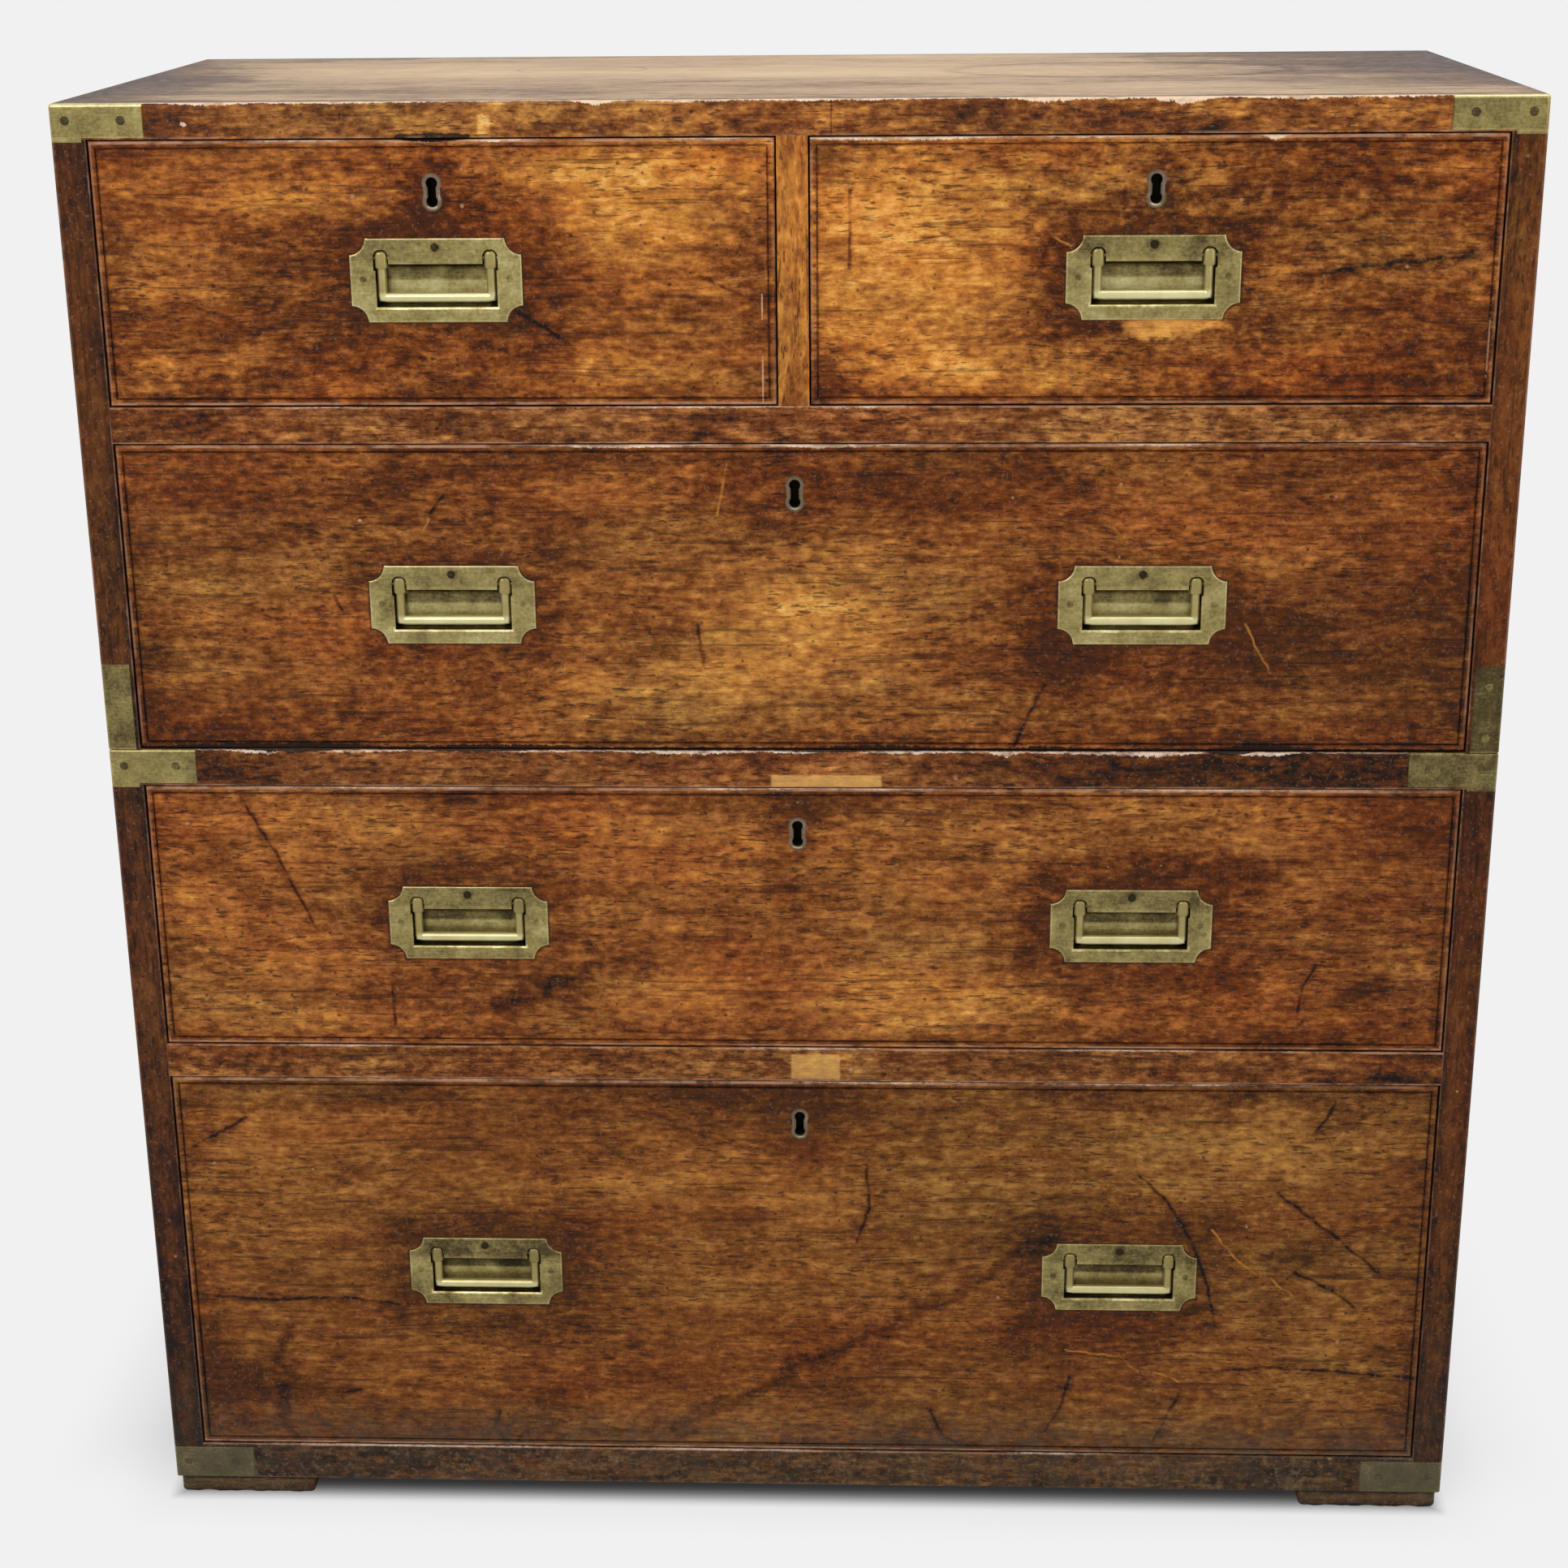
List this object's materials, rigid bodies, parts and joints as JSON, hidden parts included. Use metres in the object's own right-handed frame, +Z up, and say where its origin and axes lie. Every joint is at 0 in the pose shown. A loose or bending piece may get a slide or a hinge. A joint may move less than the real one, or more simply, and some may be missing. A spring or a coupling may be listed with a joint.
{
  "type": "campaign chest",
  "caption": "Campaign chest of drawers that parts into stacking cases: short drawers over long ones, flush brass corner straps, recessed bail handles and low block feet.",
  "frame": {"origin": "on the floor under the middle of the cases", "axes": "+Z up, +Y to the back of the chest, +X to its right as its front is faced; the drawers open towards -Y"},
  "size_m": [0.99, 0.45, 1.067],
  "materials": {
    "mahogany_top": "old waxed mahogany, greyed and ring-marked on top",
    "mahogany_side": "old French-polished mahogany, upright grain",
    "mahogany_rail": "old French-polished mahogany, level grain",
    "mahogany_front": "old French-polished mahogany, faded golden in the middle and dark at the edges",
    "mahogany_foot": "worn, dirty mahogany",
    "drawer_oak": "dry, unpolished oak drawer lining",
    "inner_pine": "dry, unpolished pine, darkened with age",
    "corner_brass": "olive patina, rubbed bright on the arris",
    "screw_brass": "dark, dirt-filled countersunk screws",
    "handle_brass": "olive patina, rubbed bright on bail and rim",
    "lock_brass": "dull old brass"
  },
  "bodies": {
    "lower_case": {"lower_side_left": "mahogany_side", "lower_side_right": "mahogany_side", "lower_top": "mahogany_top", "lower_bottom": "inner_pine", "lower_rail": "mahogany_rail", "base_rails": "mahogany_rail", "lower_back": "inner_pine", "lower_runners_and_stops": "inner_pine", "feet": "mahogany_foot", "locating_dowels": "inner_pine", "lower_corner_brasses": "corner_brass", "lower_corner_screws": "screw_brass"},
    "upper_case": {"upper_side_left": "mahogany_side", "upper_side_right": "mahogany_side", "upper_top": "mahogany_top", "upper_bottom": "inner_pine", "upper_rail": "mahogany_rail", "centre_divider": "mahogany_rail", "upper_back": "inner_pine", "upper_runners_and_stops": "inner_pine", "upper_corner_brasses": "corner_brass", "upper_corner_screws": "screw_brass"},
    "drawer_1": {"drawer_1_front": "mahogany_front", "drawer_1_box": "drawer_oak", "drawer_1_bottom": "drawer_oak", "drawer_1_handle_plates": "handle_brass", "drawer_1_lock": "lock_brass"},
    "drawer_1_bail": {"drawer_1_bail": "handle_brass"},
    "drawer_1_bolt": {"drawer_1_bolt": "lock_brass"},
    "drawer_2": {"drawer_2_front": "mahogany_front", "drawer_2_box": "drawer_oak", "drawer_2_bottom": "drawer_oak", "drawer_2_handle_plates": "handle_brass", "drawer_2_lock": "lock_brass"},
    "drawer_2_bail": {"drawer_2_bail": "handle_brass"},
    "drawer_2_bolt": {"drawer_2_bolt": "lock_brass"},
    "drawer_3": {"drawer_3_front": "mahogany_front", "drawer_3_box": "drawer_oak", "drawer_3_bottom": "drawer_oak", "drawer_3_handle_plates": "handle_brass", "drawer_3_lock": "lock_brass"},
    "drawer_3_left_bail": {"drawer_3_left_bail": "handle_brass"},
    "drawer_3_right_bail": {"drawer_3_right_bail": "handle_brass"},
    "drawer_3_bolt": {"drawer_3_bolt": "lock_brass"},
    "drawer_4": {"drawer_4_front": "mahogany_front", "drawer_4_box": "drawer_oak", "drawer_4_bottom": "drawer_oak", "drawer_4_handle_plates": "handle_brass", "drawer_4_lock": "lock_brass"},
    "drawer_4_left_bail": {"drawer_4_left_bail": "handle_brass"},
    "drawer_4_right_bail": {"drawer_4_right_bail": "handle_brass"},
    "drawer_4_bolt": {"drawer_4_bolt": "lock_brass"},
    "drawer_5": {"drawer_5_front": "mahogany_front", "drawer_5_box": "drawer_oak", "drawer_5_bottom": "drawer_oak", "drawer_5_handle_plates": "handle_brass", "drawer_5_lock": "lock_brass"},
    "drawer_5_left_bail": {"drawer_5_left_bail": "handle_brass"},
    "drawer_5_right_bail": {"drawer_5_right_bail": "handle_brass"},
    "drawer_5_bolt": {"drawer_5_bolt": "lock_brass"}
  },
  "joints": [
    {"name": "upper_case_lift", "type": "slide", "parent": "lower_case", "child": "upper_case", "axis": [0, 0, 1], "range_m": [0, 0.06]},
    {"name": "drawer_1_slide", "type": "slide", "parent": "upper_case", "child": "drawer_1", "axis": [0, -1, 0], "range_m": [0, 0.33]},
    {"name": "drawer_1_bail_hinge", "type": "hinge", "parent": "drawer_1", "child": "drawer_1_bail", "pos_m": [-0.24105, -0.2209, 0.9645], "axis": [-1, 0, 0], "range_deg": [0, 90]},
    {"name": "drawer_1_bolt_slide", "type": "slide", "parent": "drawer_1", "child": "drawer_1_bolt", "axis": [0, 0, 1], "range_m": [0, 0.008]},
    {"name": "drawer_2_slide", "type": "slide", "parent": "upper_case", "child": "drawer_2", "axis": [0, -1, 0], "range_m": [0, 0.33]},
    {"name": "drawer_2_bail_hinge", "type": "hinge", "parent": "drawer_2", "child": "drawer_2_bail", "pos_m": [0.24105, -0.2209, 0.9645], "axis": [-1, 0, 0], "range_deg": [0, 90]},
    {"name": "drawer_2_bolt_slide", "type": "slide", "parent": "drawer_2", "child": "drawer_2_bolt", "axis": [0, 0, 1], "range_m": [0, 0.008]},
    {"name": "drawer_3_slide", "type": "slide", "parent": "upper_case", "child": "drawer_3", "axis": [0, -1, 0], "range_m": [0, 0.33]},
    {"name": "drawer_3_left_bail_hinge", "type": "hinge", "parent": "drawer_3", "child": "drawer_3_left_bail", "pos_m": [-0.241, -0.2209, 0.73925], "axis": [-1, 0, 0], "range_deg": [0, 90]},
    {"name": "drawer_3_right_bail_hinge", "type": "hinge", "parent": "drawer_3", "child": "drawer_3_right_bail", "pos_m": [0.241, -0.2209, 0.73925], "axis": [-1, 0, 0], "range_deg": [0, 90]},
    {"name": "drawer_3_bolt_slide", "type": "slide", "parent": "drawer_3", "child": "drawer_3_bolt", "axis": [0, 0, 1], "range_m": [0, 0.008]},
    {"name": "drawer_4_slide", "type": "slide", "parent": "lower_case", "child": "drawer_4", "axis": [0, -1, 0], "range_m": [0, 0.33]},
    {"name": "drawer_4_left_bail_hinge", "type": "hinge", "parent": "drawer_4", "child": "drawer_4_left_bail", "pos_m": [-0.241, -0.2209, 0.50025], "axis": [-1, 0, 0], "range_deg": [0, 90]},
    {"name": "drawer_4_right_bail_hinge", "type": "hinge", "parent": "drawer_4", "child": "drawer_4_right_bail", "pos_m": [0.241, -0.2209, 0.50025], "axis": [-1, 0, 0], "range_deg": [0, 90]},
    {"name": "drawer_4_bolt_slide", "type": "slide", "parent": "drawer_4", "child": "drawer_4_bolt", "axis": [0, 0, 1], "range_m": [0, 0.008]},
    {"name": "drawer_5_slide", "type": "slide", "parent": "lower_case", "child": "drawer_5", "axis": [0, -1, 0], "range_m": [0, 0.33]},
    {"name": "drawer_5_left_bail_hinge", "type": "hinge", "parent": "drawer_5", "child": "drawer_5_left_bail", "pos_m": [-0.241, -0.2209, 0.21525], "axis": [-1, 0, 0], "range_deg": [0, 90]},
    {"name": "drawer_5_right_bail_hinge", "type": "hinge", "parent": "drawer_5", "child": "drawer_5_right_bail", "pos_m": [0.241, -0.2209, 0.21525], "axis": [-1, 0, 0], "range_deg": [0, 90]},
    {"name": "drawer_5_bolt_slide", "type": "slide", "parent": "drawer_5", "child": "drawer_5_bolt", "axis": [0, 0, 1], "range_m": [0, 0.008]}
  ]
}
